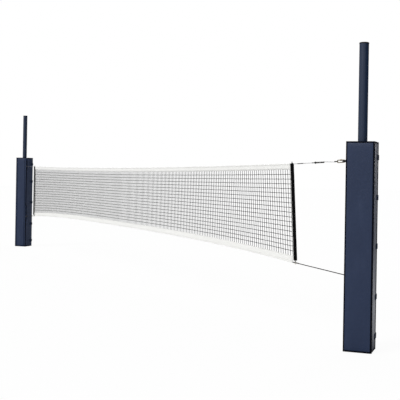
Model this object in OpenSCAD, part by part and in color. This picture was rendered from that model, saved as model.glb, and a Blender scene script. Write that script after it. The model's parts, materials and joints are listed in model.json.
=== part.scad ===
// Volleyball net on two padded posts, in millimetres.
// X runs along the net, Z is up, and the origin is on the floor midway between the posts.
// The posts go into floor sleeves, so each one reaches stub_l below the floor.

/* [Posts] */
// Distance between the two post axes
post_span = 11000; // [10700:50:12000]
// Outside diameter of a post
post_d = 83; // [76:1:88]
// Wall thickness of a post
post_wall = 3.5; // [2.5:0.5:6]
// Height of a post above the floor
post_h = 2690; // [2300:10:2900]
// Length of the post end that goes into the floor sleeve
stub_l = 230; // [150:10:400]
// Width of the stop ring beyond the post, at floor level
ring_lip = 9; // [6:1:14]
// Height of the stop ring
ring_h = 8; // [5:1:15]
// Depth of the groove that holds the stop ring
ring_seat = 0.8; // [0.5:0.1:1]
// Thickness of the cap over the top of a post
cap_h = 12; // [8:1:20]
// Overhang of the cap beyond the post
cap_lip = 2; // [1:0.5:4]

/* [Post pads] */
// Height of a pad's top edge above the floor
pad_h = 1829; // [1720:1:2000]
// Width of one side of the square pad
pad_w = 250; // [240:1:300]
// Thickness of a pad panel
pad_t = 38; // [30:1:40]
// Radius of the pads' upright outer edges
edge_r = 9; // [4:1:14]
// How far both pads are turned clockwise from having a corner in line with the net
pad_turn = 3; // [0:0.5:3]
// Thickness of the vinyl cover
vinyl_t = 1.2; // [0.8:0.1:2]
// Gap between the closing panel and the floor
panel_gap = 3; // [2:1:10]
// Width of the openings for the cable and the cord
slot_w = 24; // [20:1:30]
// Bottom of the open notch at the top of the pad
notch_z = 1575; // [1500:5:1580]
// Bottom of the lower opening
slot_z = 540; // [500:5:545]
// Height of the lower opening
slot_h = 305; // [300:5:400]

/* [Hook-and-loop tabs] */
// Height of one tab
tab_h = 46; // [30:1:60]
// Reach of a tab round the back corner
tab_l = 88; // [60:1:110]
// Thickness of a tab
tab_t = 2.5; // [2:0.1:4]
// Thickness of the loop patch under a tab
loop_t = 1.5; // [1:0.1:2.5]
// Length of a tab's sewn end on the closing panel
sewn_l = 95; // [60:1:140]

/* [Net] */
// Height of the middle of the top edge
net_top_z = 1612; // [1600:1:1625]
// How far the top edge rises from the middle to its ends
top_rise = 34; // [20:1:40]
// Height of the middle of the bottom edge
net_bottom_z = 738; // [720:1:760]
// How far the bottom edge drops towards its ends
bottom_drop = 80; // [50:1:90]
// Height of the top tape
top_tape_h = 62; // [50:1:75]
// Height of the bottom tape
bottom_tape_h = 70; // [50:1:90]
// Width of the side tapes
side_tape_w = 25; // [15:1:40]
// Thickness of the tapes
tape_t = 2.4; // [1.6:0.2:4]
// Columns of gaps in the mesh
mesh_cols = 60; // [40:1:60]
// Rows of gaps in the mesh
mesh_rows = 5; // [3:1:5]
// Width of a mesh strand
strand_w = 5; // [3:0.5:8]
// Thickness of the mesh
strand_t = 3; // [2:0.5:4]
// Diameter of a side dowel
dowel_d = 28; // [20:1:32]
// Wall of the sleeve round a dowel
dowel_sleeve_t = 2; // [1.5:0.5:3]
// Distance from a near post's axis to the top of its dowel
near_dowel_gap = 1100; // [1090:5:1200]
// Distance from a far post's axis to its dowel
far_dowel_gap = 760; // [700:5:900]
// How far the near dowel's foot leans towards the post
near_lean = 87; // [0:1:100]

/* [Cable and cords] */
// Diameter of the steel top cable
cable_d = 5; // [4:0.5:6]
// Diameter of the lower cord
cord_d = 7; // [6:0.5:8]
// Play of a cable or cord in the tunnel of its tape
tunnel_gap = 0.4; // [0.3:0.1:1]
// Length of the pull rod between its two pins
pull_rod_l = 190; // [170:5:220]
// Diameter of the pull rod
pull_rod_d = 10; // [8:1:12]
// Length of the quick link between its end bends
link_l = 106; // [90:1:120]
// Width of the quick link between its side bars
link_w = 22; // [21:1:30]
// Wire diameter of the quick link
link_d = 8; // [7:0.5:8]
// Length of a crimped ferrule
ferrule_l = 36; // [28:1:50]
// Length of the short ferrules on the cord in the bottom tape
hem_ferrule_l = 20; // [15:1:20]
// Length of the cable between the ferrule and the turnbuckle
lead_l = 157; // [100:1:200]
// Length of the turnbuckle body
buckle_l = 118; // [100:1:140]
// Diameter of the turnbuckle body
buckle_d = 14; // [13:1:18]
// Diameter of the turnbuckle studs
stud_d = 8; // [7:0.5:9]
// Length of the stud that shows beyond the turnbuckle body
stud_l = 70; // [40:1:90]
// Distance from that stud's end to the dark sleeve
cable_sleeve_gap = 149; // [60:1:160]
// Length of the dark sleeve on the top cable
cable_sleeve_l = 95; // [60:5:120]

/* [Post collars] */
// Height of the near upper collar
near_upper_z = 1667; // [1640:1:1680]
// Height of the near lower collar
near_lower_z = 627; // [610:1:640]
// Height of the far upper collar
far_upper_z = 1652; // [1640:1:1680]
// Height of the far lower collar
far_lower_z = 614; // [610:1:640]
// Height of a collar
collar_h = 46; // [34:1:60]
// Wall thickness of a collar
collar_wall = 9; // [7:0.5:12]
// Radial clearance between a collar and its post
collar_gap = 0.4; // [0.3:0.1:1]
// Distance from the post's surface to the lug's pin
lug_reach = 30.5; // [28:0.5:36]
// Thickness of the lug
lug_t = 10; // [8:1:12]
// Diameter of the clevis pins
pin_d = 10; // [8:1:10]
// Diameter of the clamp knob
knob_d = 40; // [30:1:44]
// Diameter of the clamp screw
screw_d = 10; // [8:1:12]

/* [Hidden] */
$fn = 48;

NAVY = [0.13, 0.17, 0.27];
BLACK = [0.06, 0.06, 0.07];
STEEL = [0.68, 0.69, 0.71];
DARK_STEEL = [0.22, 0.22, 0.23];
BRASS = [0.55, 0.48, 0.28];
WHITE = [0.92, 0.92, 0.90];
FOAM = [0.80, 0.78, 0.68];
OLIVE = [0.20, 0.20, 0.16];

near_x = post_span / 2;
post_r = post_d / 2;
post_bore_r = post_r - post_wall;
seat_gap = 0.3;
shaft_gap = 0.05;

// Pads: a square of four panels, turned so that one corner points nearly along the net.
half = pad_w / 2;
cavity = half - pad_t;
tab_heights = [0.927, 0.733, 0.4975, 0.254, 0.0656];
tab_pivot = tab_t / 2 + seat_gap;
notch_over = 40;

// The net's outline: the top edge is a parabola and the bottom edge drops faster near its ends.
dowel_top_z = net_top_z + top_rise;
near_dowel_x = near_x - near_dowel_gap;
far_dowel_x = -near_x + far_dowel_gap;
net_mid_x = (near_dowel_x + far_dowel_x) / 2;
net_half_l = (near_dowel_x - far_dowel_x) / 2;
sleeve_r = dowel_d / 2 + dowel_sleeve_t;
far_sleeve_x = far_dowel_x + sleeve_r;
far_inner_x = far_sleeve_x + side_tape_w;
near_hem_x = near_dowel_x + near_lean - sleeve_r - side_tape_w;
bottom_mid_x = (near_hem_x + far_inner_x) / 2;
bottom_half_l = (near_hem_x - far_inner_x) / 2;

function top_edge(x) = net_top_z + top_rise * pow((x - net_mid_x) / net_half_l, 2);
function bottom_edge(x) = net_bottom_z - bottom_drop * pow(abs(x - bottom_mid_x) / bottom_half_l, 3);
function mix(a, b, t) = a + (b - a) * t;
function near_axis_x(z) = near_dowel_x + near_lean * (dowel_top_z - z) / (dowel_top_z - dowel_foot_z);
function near_sleeve_x(z) = near_axis_x(z) - sleeve_r / cos(lean_angle);
function near_inner_x(z) = near_sleeve_x(z) - side_tape_w;

// Tape tunnels: the cable and the cord run through them.
cable_drop = cable_d / 2 + tunnel_gap + tape_t + 0.6;
side_play = 0.4;
side_tape_rise = 6;
hem_tunnel = cord_d + 2 * tunnel_gap;
cord_rise = hem_tunnel / 2 + tape_t;
tape_steps = 60;

// Corner rings lie level with the cord in the bottom tape, and hang from the eyes under the dowels.
ring_wire_r = 2.5;
ring_r = 12;
ring_z = net_bottom_z - bottom_drop + cord_rise;
eye_plate_h = 2;
eye_stem_h = 2;
low_eye_r = 5;
low_eye_wire_r = 1.5;
high_eye_r = 6.5;
high_eye_wire_r = 2;
low_eye_drop = eye_plate_h + eye_stem_h + low_eye_r;
ring_hang = low_eye_r - low_eye_wire_r - ring_wire_r - seat_gap + ring_r;
dowel_foot_z = ring_z + ring_hang + low_eye_drop;
lean_angle = atan(near_lean / (dowel_top_z - dowel_foot_z));
near_dowel_l = (dowel_top_z - dowel_foot_z) / cos(lean_angle);
far_dowel_l = dowel_top_z - dowel_foot_z;
near_ring = [near_axis_x(dowel_foot_z - low_eye_drop), ring_z];
far_ring = [far_dowel_x, ring_z];

// Collars: the lug's pin is on the net side, the knob on the other side.
collar_r = post_r + collar_gap + collar_wall;
lug_x = post_r + lug_reach;
lug_r = pin_d / 2 + 8;
pin_r = pin_d / 2;
boss_l = 12;
knob_h = 18;
near_upper_pin = [near_x - lug_x, near_upper_z];
near_lower_pin = [near_x - lug_x, near_lower_z];
far_upper_pin = [-near_x + lug_x, far_upper_z];
far_lower_pin = [-near_x + lug_x, far_lower_z];
ear_t = 5;
ear_gap = 0.5;
ear_out = lug_t / 2 + ear_gap + ear_t;
jaw_throat = lug_r + 3;
jaw_block = 9;

// The upper line runs straight from the near lug's pin to the top of the near dowel.
cable_near_z = top_edge(near_dowel_x) - cable_drop;
cable_far_z = top_edge(far_dowel_x) - cable_drop;
near_cable_end = [near_dowel_x, cable_near_z];
far_cable_end = [far_dowel_x, cable_far_z];
eye_r = 7;
eye_wire_r = 2.5;
ferrule_r = cable_d / 2 + 2.5;
link_right = pull_rod_l - pin_r - link_d / 2 - seat_gap;
link_left = link_right + link_l;
lead_eye_end = link_left + eye_length(link_d / 2) + ferrule_l;
stud_in = 40;
near_stud_start = lead_eye_end + lead_l;
stud_tail = 12;
buckle_start = near_stud_start + stud_tail;
buckle_end = buckle_start + buckle_l;
lock_nut_t = 8;
lock_nut_w = 19;
lock_nut_gap = 10;
far_stud_end = buckle_end + stud_l;
cable_sleeve_start = far_stud_end + cable_sleeve_gap;
crimp_depth = 20;
hem_crimp = 14;
jaw_end_x = jaw_throat + jaw_block;
cable_shank_l = 60;
near_shank_l = 40;
far_shank_l = 75;

// How far an eye reaches from the wire that it holds to the start of its ferrule.
function eye_length(held_r) = 2 * eye_r - held_r - eye_wire_r - seat_gap - 0.5;

// ---- placing ----

// $turn is the pad's turn at that post; the far post is mirrored, so its turn is the other way.
module at_near_post() {
    $turn = 45 - pad_turn;
    translate([near_x, 0, 0]) children();
}
module at_far_post() {
    $turn = 45 + pad_turn;
    mirror([1, 0, 0]) translate([near_x, 0, 0]) children();
}

// Turns local +X along the line from a to b in the XZ plane, at distance d from a.
module on_line(a, b, d = 0) {
    rise = atan2(b[1] - a[1], b[0] - a[0]);
    translate([a[0] + d * cos(rise), 0, a[1] + d * sin(rise)])
        rotate([0, -rise, 0]) children();
}

module on_upper_line(d) { on_line(near_upper_pin, near_cable_end, d) children(); }
module along_x(length, r) { rotate([0, 90, 0]) cylinder(r = r, h = length); }
module along_y(length, r) { rotate([90, 0, 0]) cylinder(r = r, h = length, center = true); }

// ---- posts ----

// A tube with a groove for the stop ring at floor level.
module post() {
    difference() {
        translate([0, 0, -stub_l]) cylinder(r = post_r, h = stub_l + post_h);
        translate([0, 0, -stub_l - 1]) cylinder(r = post_bore_r, h = stub_l + post_h + 2);
        rotate_extrude() translate([post_r - ring_seat, 0]) square([ring_seat + 1, ring_h]);
    }
}

// The ring in a post's groove, which stops it at floor level.
module stop_ring() {
    chamfer = 2;
    outer = post_r + ring_lip;
    inner = post_r - ring_seat + shaft_gap;
    rotate_extrude() polygon([[inner, 0], [outer, 0], [outer, ring_h - chamfer],
        [outer - chamfer, ring_h], [inner, ring_h]]);
}

// A moulded cap with a domed edge and a spigot inside the tube.
module post_cap() {
    cap_r = post_r + cap_lip;
    spigot_r = post_bore_r - 0.2;
    spigot_wall = 3;
    spigot_l = 25;
    bend = cap_h * 0.6;
    arc = [for (a = [0 : 15 : 90]) [cap_r - bend + bend * cos(a), cap_h - bend + bend * sin(a)]];
    translate([0, 0, post_h]) rotate_extrude() polygon(concat(
        [[0, 0], [spigot_r - spigot_wall, 0], [spigot_r - spigot_wall, -spigot_l],
         [spigot_r, -spigot_l], [spigot_r, 0], [cap_r, 0]], arc, [[0, cap_h]]));
}

// A plug that closes the foot of the tube.
module post_plug() {
    foot_h = 5;
    spigot_l = 30;
    translate([0, 0, -stub_l]) difference() {
        union() {
            translate([0, 0, -foot_h]) cylinder(r = post_r - 1.5, h = foot_h);
            cylinder(r = post_bore_r - 0.2, h = spigot_l);
        }
        cylinder(r = post_bore_r - 4, h = spigot_l + 1);
    }
}

// ---- pads ----

// Local +X faces the closing panel and local -Y the front.
module pad_frame() { rotate([0, 0, $turn]) children(); }

// The front (side -1) or back (side 1) panel from above, with its two outer corners rounded.
function panel_outline(side, inset) =
    let (r = edge_r - inset, left = -half + inset + r, right = half - seat_gap - inset - r, y = half - inset - r)
    concat([[left - r, side * (cavity + inset)]],
        [for (a = [180 : -15 : 90]) [left + r * cos(a), side * (y + r * sin(a))]],
        [for (a = [90 : -15 : 0]) [right + r * cos(a), side * (y + r * sin(a))]],
        [[right + r, side * (cavity + inset)]]);

// The front and back panels have the pad's full width, and the other two fit between them.
module fixed_panels(inset) {
    tall = pad_h - 2 * inset;
    for (side = [-1, 1]) translate([0, 0, inset]) linear_extrude(height = tall) polygon(panel_outline(side, inset));
    translate([-half + inset, -cavity + inset, inset]) cube([pad_t - 2 * inset, 2 * (cavity - inset), tall]);
}

// The closing panel turns about its outer edge at the front panel. Its free end is slanted,
// so that its inner corner passes the back panel.
module closing_panel(inset) {
    reach = 2 * cavity - seat_gap;
    slant = reach - sqrt(reach * reach - pad_t * pad_t);
    translate([0, -cavity, panel_gap + inset])
        linear_extrude(height = pad_h - panel_gap - 2 * inset)
            polygon([[cavity + inset, seat_gap + inset], [half - inset, seat_gap + inset],
                [half - inset, reach - inset * (1 + slant / pad_t)],
                [cavity + inset, reach - slant - inset * (1 - slant / pad_t)]]);
}

// The openings at the corner that faces the net, cut along the net.
module net_openings(wall) {
    reach = half * sqrt(2) + 10;
    rotate([0, 0, 180 - $turn]) translate([cavity, -slot_w / 2 - wall, 0]) {
        translate([0, 0, notch_z - wall])
            cube([reach - cavity, slot_w + 2 * wall, pad_h - notch_z + notch_over]);
        translate([0, 0, slot_z - wall])
            cube([reach - cavity, slot_w + 2 * wall, slot_h + 2 * wall]);
    }
}

module pad_foam() {
    pad_frame() difference() {
        fixed_panels(vinyl_t);
        net_openings(vinyl_t);
    }
}

module pad_cover() {
    pad_frame() difference() {
        fixed_panels(0);
        difference() {
            fixed_panels(vinyl_t);
            net_openings(vinyl_t);
        }
        net_openings(0);
    }
}

module panel_foam() { pad_frame() closing_panel(vinyl_t); }

// The closing panel's cover, with the sewn ends of the tabs on its outer face.
module panel_cover() {
    pad_frame() {
        difference() {
            closing_panel(0);
            closing_panel(vinyl_t);
        }
        for (share = tab_heights)
            translate([half, half - sewn_l, share * pad_h - tab_h / 2])
                cube([tab_t, sewn_l + loop_t - seat_gap, tab_h]);
    }
}

module loop_patches() {
    pad_frame() for (share = tab_heights)
        translate([half - tab_l - 12, half, share * pad_h - tab_h / 2 - 4])
            cube([tab_l, loop_t, tab_h + 8]);
}

// The free ends of the tabs: each turns about the upright line at the back corner.
module tabs() {
    pad_frame() for (share = tab_heights)
        translate([half + tab_pivot - seat_gap, half + loop_t + tab_pivot, share * pad_h - tab_h / 2]) {
            cylinder(r = tab_t / 2, h = tab_h);
            translate([-tab_l, -tab_t / 2, 0]) cube([tab_l, tab_t, tab_h]);
        }
}

// ---- collars ----

// A sliding collar: a band with a lug for the pin on the net side and a boss for the clamp screw.
module collar(z) {
    difference() {
        union() {
            translate([0, 0, z - collar_h / 2]) cylinder(r = collar_r, h = collar_h);
            translate([-lug_x, 0, z]) along_y(lug_t, lug_r);
            translate([-lug_x, -lug_t / 2, z - lug_r]) cube([lug_x - post_r, lug_t, 2 * lug_r]);
            translate([post_r, 0, z]) along_x(collar_r - post_r + boss_l, screw_d / 2 + 7);
        }
        translate([0, 0, z - collar_h / 2 - 1]) cylinder(r = post_r + collar_gap, h = collar_h + 2);
        translate([-lug_x, 0, z]) along_y(lug_t + 2, pin_r + 0.1);
        translate([post_r - 5, 0, z]) along_x(collar_r, screw_d / 2 + shaft_gap);
    }
}

// A five-lobed knob on its clamp screw, whose tip stops just short of the post.
module knob(z) {
    head_x = collar_r + boss_l + 0.5;
    translate([post_r + seat_gap, 0, z]) along_x(head_x - post_r, screw_d / 2);
    translate([head_x, 0, z]) rotate([0, 90, 0]) {
        linear_extrude(height = knob_h) {
            circle(r = knob_d * 0.36);
            for (k = [0 : 4]) rotate(72 * k) translate([knob_d * 0.32, 0]) circle(r = knob_d * 0.17);
        }
        cylinder(r = knob_d * 0.25, h = knob_h + 3);
    }
}

// ---- rigging ----

// Two ears round a pin at the local origin, a block behind them, and room for a wire between them.
module jaw_ears() {
    for (side = [-1, 1]) translate([0, side * (ear_out - ear_t / 2), 0]) {
        difference() {
            union() {
                along_y(ear_t, lug_r);
                translate([0, -ear_t / 2, -lug_r * 0.7]) cube([jaw_throat + 1, ear_t, lug_r * 1.4]);
            }
            along_y(ear_t + 2, pin_r + 0.1);
        }
    }
    translate([jaw_throat, -ear_out, -lug_r * 0.7]) cube([jaw_block, 2 * ear_out, lug_r * 1.4]);
}

// A jaw crimped on a cable or cord of radius r.
module jaw(shank_l, r) {
    shank_start = jaw_throat + jaw_block;
    difference() {
        union() {
            jaw_ears();
            translate([shank_start - 1, 0, 0]) along_x(shank_l + 1, r + 3.5);
            translate([shank_start, 0, 0]) rotate([0, 90, 0]) cylinder(r1 = lug_r * 0.7, r2 = r + 3.5, h = 8);
        }
        translate([shank_start + shank_l - crimp_depth, 0, 0]) along_x(crimp_depth + 1, r + shaft_gap);
    }
}

module clevis_pin(reach) {
    along_y(2 * reach + 5, pin_r);
    translate([0, -reach - 3, 0]) along_y(3, pin_r + 2.5);
    translate([0, reach + 3, 0]) along_y(1.6, pin_r + 2);
}

// The pull rod: a jaw at each end, so that the link stays clear of the pad.
module pull_rod_shape() {
    jaw_ears();
    translate([pull_rod_l, 0, 0]) mirror([1, 0, 0]) jaw_ears();
    rod_start = jaw_throat + jaw_block - 1;
    translate([rod_start, 0, 0]) along_x(pull_rod_l - 2 * rod_start, pull_rod_d / 2);
}

// A ring of wire in the local XZ plane.
module wire_ring(r, wire_r) {
    rotate([90, 0, 0]) rotate_extrude() translate([r, 0]) circle(r = wire_r, $fn = 24);
}

module quick_link_shape() {
    bend = link_w / 2;
    straight = link_l - link_w;
    opening = 12;
    for (end = [0, 1]) translate([end == 0 ? bend : link_l - bend, 0, 0]) rotate([90, 0, 0])
        rotate([0, 0, end == 0 ? 90 : -90]) rotate_extrude(angle = 180)
            translate([bend, 0]) circle(r = link_d / 2, $fn = 24);
    translate([bend, 0, bend]) along_x(straight, link_d / 2);
    for (end = [0, 1]) translate([end == 0 ? bend : bend + (straight + opening) / 2, 0, -bend])
        along_x((straight - opening) / 2, link_d / 2);
}

module link_nut_shape() {
    difference() {
        rotate([0, 90, 0]) cylinder(d = link_d * 1.75, h = 24, center = true, $fn = 6);
        rotate([0, 90, 0]) cylinder(r = link_d / 2 + shaft_gap, h = 26, center = true);
    }
}

// An eye round an upright wire of radius held_r at the local origin, with its crimped ferrule.
module eye_end(held_r, tube_r, rope_r, tube_l, bore_l = crimp_depth) {
    centre = eye_r - held_r - eye_wire_r - seat_gap;
    tube_start = eye_length(held_r);
    translate([centre, 0, 0]) rotate([90, 0, 0]) wire_ring(eye_r, eye_wire_r);
    difference() {
        translate([tube_start, 0, 0]) along_x(tube_l, tube_r);
        translate([tube_start + tube_l - bore_l, 0, 0]) along_x(bore_l + 1, rope_r + shaft_gap);
    }
}

module stud(length, bore_end) {
    difference() {
        along_x(length, stud_d / 2);
        translate([bore_end == 0 ? -1 : length - stud_tail, 0, 0])
            along_x(stud_tail + 1, cable_d / 2 + shaft_gap);
    }
}

// A tube with a window that shows how far the studs reach in.
module turnbuckle_tube() {
    window_l = 26;
    window_h = 5;
    difference() {
        along_x(buckle_l, buckle_d / 2);
        translate([-1, 0, 0]) along_x(buckle_l + 2, stud_d / 2 + shaft_gap);
        translate([(buckle_l - window_l) / 2, -buckle_d, -window_h / 2]) cube([window_l, 2 * buckle_d, window_h]);
    }
}

// A tube swept along points [x, z], with its rings square to the route.
module sweep(route, r, sides = 8) {
    last = len(route) - 1;
    function way(i) = route[min(i + 1, last)] - route[max(i - 1, 0)];
    rings = [for (i = [0 : last]) let (w = way(i) / norm(way(i))) for (k = [0 : sides - 1])
        let (a = 360 * (k + 0.5) / sides)
        [route[i][0] - w[1] * r * cos(a), r * sin(a), route[i][1] + w[0] * r * cos(a)]];
    walls = [for (i = [0 : last - 1]) for (k = [0 : sides - 1]) let (n = (k + 1) % sides)
        each [[i * sides + k, i * sides + n, (i + 1) * sides + n],
              [i * sides + k, (i + 1) * sides + n, (i + 1) * sides + k]]];
    ends = [for (k = [1 : sides - 2]) each [[0, k + 1, k],
        [last * sides, last * sides + k, last * sides + k + 1]]];
    polyhedron(points = rings, faces = concat(walls, ends), convexity = 4);
}

// ---- net ----

module upright_plate(points, thickness) {
    translate([0, thickness / 2, 0]) rotate([90, 0, 0]) linear_extrude(height = thickness) polygon(points);
}

// Stations along the top tape, from the far sleeve to the near one.
function top_x(i, low = 0) =
    mix(far_sleeve_x, near_sleeve_x(dowel_top_z - low), i / tape_steps);
function bottom_x(i, high = 0) =
    mix(far_inner_x, near_hem_x - high * tan(lean_angle), i / tape_steps);

// A strip between two heights below the top edge.
function top_point(i, low) = [top_x(i, low), top_edge(top_x(i, low)) - low];
function top_strip(upper, lower) = concat(
    [for (i = [0 : tape_steps]) top_point(i, upper)],
    [for (i = [tape_steps : -1 : 0]) top_point(i, lower)]);

// A strip between two heights above the bottom edge.
function bottom_point(i, high) = [bottom_x(i, high), bottom_edge(bottom_x(i, high)) + high];
function bottom_strip(lower, upper) = concat(
    [for (i = [0 : tape_steps]) bottom_point(i, upper)],
    [for (i = [tape_steps : -1 : 0]) bottom_point(i, lower)]);

// A point of the mesh: u runs from the far side to the near side, v from bottom to top.
mesh_low_z = bottom_edge(near_hem_x) + bottom_tape_h;
mesh_high_z = top_edge(near_dowel_x) - top_tape_h;
function mesh_point(u, v) =
    let (x = mix(far_inner_x + side_play, near_inner_x(mix(mesh_low_z, mesh_high_z, v)) - side_play, u))
    [x, mix(bottom_edge(x) + bottom_tape_h + side_play, top_edge(x) - top_tape_h - side_play, v)];

module mesh() {
    du = 1 / mesh_cols;
    dv = 1 / mesh_rows;
    long = near_dowel_x - far_dowel_x;
    tall = mesh_high_z - mesh_low_z;
    eu = strand_w / long / 2;
    ev = strand_w / tall / 2;
    edge = concat([for (i = [0 : mesh_cols]) mesh_point(i * du, 1)],
                  [for (i = [mesh_cols : -1 : 0]) mesh_point(i * du, 0)]);
    translate([0, strand_t / 2, 0]) rotate([90, 0, 0]) linear_extrude(height = strand_t) difference() {
        polygon(edge);
        for (i = [0 : mesh_cols - 1]) for (j = [0 : mesh_rows - 1])
            polygon([mesh_point(i * du + eu, j * dv + ev), mesh_point((i + 1) * du - eu, j * dv + ev),
                     mesh_point((i + 1) * du - eu, (j + 1) * dv - ev),
                     mesh_point(i * du + eu, (j + 1) * dv - ev)]);
    }
}

// A tape of one thickness with a fatter hem round a square tunnel.
module top_tape_shape() {
    tunnel = cable_d + 2 * tunnel_gap;
    difference() {
        union() {
            upright_plate(top_strip(0, top_tape_h), tape_t);
            upright_plate(top_strip(0, 2 * cable_drop), tunnel + 2 * tape_t);
        }
        upright_plate(top_strip(cable_drop - tunnel / 2, cable_drop + tunnel / 2), tunnel);
    }
}

module bottom_tape_shape() {
    difference() {
        union() {
            upright_plate(bottom_strip(0, bottom_tape_h), tape_t);
            upright_plate(bottom_strip(0, 2 * cord_rise), hem_tunnel + 2 * tape_t);
        }
        upright_plate(bottom_strip(cord_rise - hem_tunnel / 2, cord_rise + hem_tunnel / 2), hem_tunnel);
    }
}

module near_side_strip() {
    low = dowel_foot_z + side_tape_rise;
    high = top_edge(near_inner_x(dowel_top_z)) - top_tape_h - side_play;
    upright_plate([[near_inner_x(low), low], [near_sleeve_x(low), low],
        [near_sleeve_x(high), high], [near_inner_x(high), high]], tape_t);
}

module far_side_strip() {
    low = dowel_foot_z + side_tape_rise;
    high = top_edge(far_inner_x) - top_tape_h - side_play;
    upright_plate([[far_inner_x, low], [far_sleeve_x, low],
        [far_sleeve_x, high], [far_inner_x, high]], tape_t);
}

// Local Z runs up a dowel from its foot.
module near_dowel_frame() {
    translate([near_axis_x(dowel_foot_z), 0, dowel_foot_z]) rotate([0, -lean_angle, 0]) children();
}
module far_dowel_frame() { translate([far_dowel_x, 0, dowel_foot_z]) children(); }

// The cable's way through a dowel and its sleeve.
module cable_hole(a, b) {
    reach = 2 * dowel_d;
    on_line(a, b, -reach) along_x(2 * reach, cable_d / 2 + tunnel_gap);
}

module dowel_shape(length) { cylinder(r = dowel_d / 2, h = length); }

module dowel_sleeve_shape(length) {
    end = 2;
    translate([0, 0, end]) difference() {
        cylinder(r = sleeve_r, h = length - 2 * end);
        translate([0, 0, -1]) cylinder(r = dowel_d / 2 + shaft_gap, h = length);
    }
}

// A plate with a standing eye, for the end of a dowel.
module dowel_eye(r, wire_r) {
    cylinder(r = dowel_d / 2 - 1, h = eye_plate_h);
    cylinder(r = wire_r * 1.5, h = eye_plate_h + eye_stem_h);
    translate([0, 0, eye_plate_h + eye_stem_h + r]) children();
}

// The upper eye lies along the net, and the lower one across it, round the corner ring.
module dowel_eyes(length) {
    translate([0, 0, length]) dowel_eye(high_eye_r, high_eye_wire_r) wire_ring(high_eye_r, high_eye_wire_r);
    mirror([0, 0, 1]) dowel_eye(low_eye_r, low_eye_wire_r)
        rotate([0, 0, 90]) wire_ring(low_eye_r, low_eye_wire_r);
}

// ---- cords ----

function towards(a, b, d) = a + (b - a) / norm(b - a) * d;

// The cable enters the far stud, passes the dowels and ends in the far jaw.
upper_route = concat(
    [towards(near_upper_pin, near_cable_end, far_stud_end - stud_tail + 1), near_cable_end],
    [for (i = [tape_steps : -2 : 0]) top_point(i, cable_drop)],
    [far_cable_end, towards(far_upper_pin, far_cable_end, jaw_end_x + cable_shank_l - crimp_depth + 1)]);

// The hem's cord runs between the short ferrules on the two corner rings.
hem_bore_start = ring_r + eye_length(ring_wire_r) + hem_ferrule_l - hem_crimp + 1;
hem_route = concat(
    [near_ring - [hem_bore_start, 0]],
    [for (i = [tape_steps : -1 : 0]) bottom_point(i, cord_rise)],
    [far_ring + [hem_bore_start, 0]]);

module lower_cord(pin, ring, jaw_end) {
    side = sign(pin[0] - ring[0]);
    held = ring + [side * ring_r, 0];
    span = norm(pin - held);
    eye_end_d = eye_length(ring_wire_r) + ferrule_l;
    on_line(pin, held, jaw_end - crimp_depth + 1)
        along_x(span - jaw_end - eye_end_d + 2 * crimp_depth - 2, cord_d / 2);
}

module cord_fittings(pin, ring, shank_l) {
    side = sign(pin[0] - ring[0]);
    held = ring + [side * ring_r, 0];
    on_line(pin, held) jaw(shank_l, cord_d / 2);
    on_line(held, pin) eye_end(ring_wire_r, cord_d / 2 + 2, cord_d / 2, ferrule_l);
}

// ---- nodes ----

color(NAVY) at_near_post() post();  // near_post
color(NAVY) at_far_post() post();  // far_post
color(NAVY) {  // stop_rings
    at_near_post() stop_ring();
    at_far_post() stop_ring();
}
color(BLACK) at_near_post() post_cap();  // near_post_cap
color(BLACK) at_far_post() post_cap();  // far_post_cap
color(BLACK) at_near_post() post_plug();  // near_post_plug
color(BLACK) at_far_post() post_plug();  // far_post_plug
color(FOAM) at_near_post() pad_foam();  // near_pad_foam
color(FOAM) at_far_post() pad_foam();  // far_pad_foam
color(NAVY) at_near_post() pad_cover();  // near_pad_cover
color(NAVY) at_far_post() pad_cover();  // far_pad_cover
color(BLACK) at_near_post() loop_patches();  // near_loop_patches
color(BLACK) at_far_post() loop_patches();  // far_loop_patches
color(FOAM) at_near_post() panel_foam();  // near_panel_foam
color(FOAM) at_far_post() panel_foam();  // far_panel_foam
color(NAVY) at_near_post() panel_cover();  // near_panel_cover
color(NAVY) at_far_post() panel_cover();  // far_panel_cover
color(NAVY) at_near_post() tabs();  // near_tabs
color(NAVY) at_far_post() tabs();  // far_tabs
color(STEEL) at_near_post() collar(near_upper_z);  // near_upper_collar
color(STEEL) at_near_post() collar(near_lower_z);  // near_lower_collar
color(STEEL) at_far_post() collar(far_upper_z);  // far_upper_collar
color(STEEL) at_far_post() collar(far_lower_z);  // far_lower_collar
color(BLACK) at_near_post() knob(near_upper_z);  // near_upper_knob
color(BLACK) at_near_post() knob(near_lower_z);  // near_lower_knob
color(BLACK) at_far_post() knob(far_upper_z);  // far_upper_knob
color(BLACK) at_far_post() knob(far_lower_z);  // far_lower_knob
color(STEEL) {  // clevis_pins
    for (pin = [near_upper_pin, near_lower_pin, far_upper_pin, far_lower_pin])
        translate([pin[0], 0, pin[1]]) clevis_pin(ear_out);
    on_upper_line(pull_rod_l) clevis_pin(ear_out);
}
color(BLACK) on_upper_line(0) pull_rod_shape();  // pull_rod
color(BRASS) on_upper_line(link_right) quick_link_shape();  // quick_link
color(BRASS)  // link_nut
    on_upper_line(link_right + link_l / 2) translate([0, 0, -link_w / 2]) link_nut_shape();
color(DARK_STEEL)  // lead_eye
    on_upper_line(link_left) eye_end(link_d / 2, ferrule_r, cable_d / 2, ferrule_l);
color(STEEL)  // lead_cable
    on_upper_line(lead_eye_end - crimp_depth + 1) along_x(lead_l + crimp_depth + stud_tail - 2, cable_d / 2);
color(DARK_STEEL)  // turnbuckle_near_stud
    on_upper_line(near_stud_start) stud(stud_tail + stud_in, 0);
color(DARK_STEEL) on_upper_line(buckle_start) turnbuckle_tube();  // turnbuckle_body
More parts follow.
